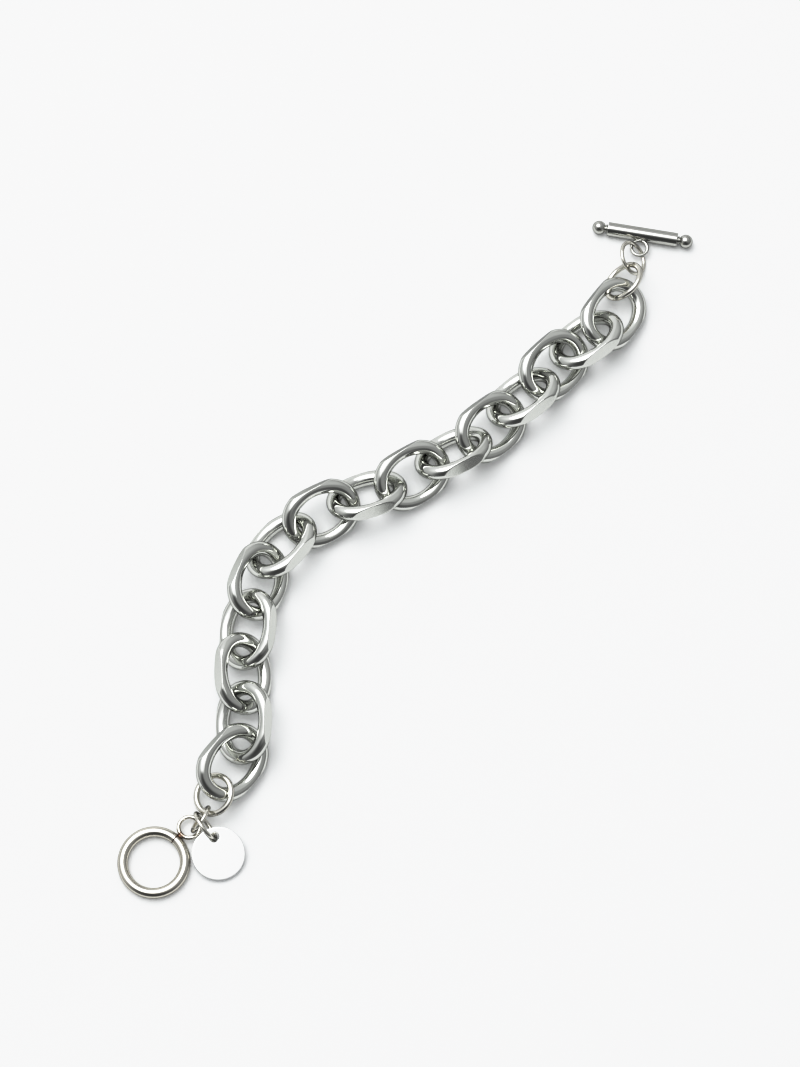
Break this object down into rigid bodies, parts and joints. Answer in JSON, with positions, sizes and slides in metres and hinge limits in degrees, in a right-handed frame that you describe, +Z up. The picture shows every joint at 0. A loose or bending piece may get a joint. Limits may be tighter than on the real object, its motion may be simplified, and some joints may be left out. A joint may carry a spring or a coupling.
{
  "type": "chain bracelet",
  "caption": "Heavy oval-link chain bracelet lying open, with a T-bar and ring clasp and a small round tag.",
  "frame": {"origin": "on the surface the bracelet lies on, under the middle of its outline seen from above", "axes": "+Z up from the surface, +Y along the longer side of the outline towards the T-bar end, +X to the right seen from above"},
  "size_m": [0.1304, 0.1606, 0.0104],
  "materials": {
    "polished_links": "polished stainless steel",
    "polished_clasp": "polished stainless steel",
    "polished_rings": "polished stainless steel wire",
    "polished_tag": "polished stainless steel sheet"
  },
  "bodies": {
    "root": {"t_bar": "polished_clasp", "bar_ring": "polished_rings", "bar_end_ring": "polished_rings", "link_01": "polished_links", "link_02": "polished_links", "link_03": "polished_links", "link_04": "polished_links", "link_05": "polished_links", "link_06": "polished_links", "link_07": "polished_links", "link_08": "polished_links", "link_09": "polished_links", "link_10": "polished_links", "link_11": "polished_links", "link_12": "polished_links", "link_13": "polished_links", "link_14": "polished_links", "link_15": "polished_links", "clasp_end_ring": "polished_rings", "connector_ring": "polished_rings", "tag_ring": "polished_rings", "toggle_ring": "polished_clasp", "tag": "polished_tag"}
  },
  "joints": []
}
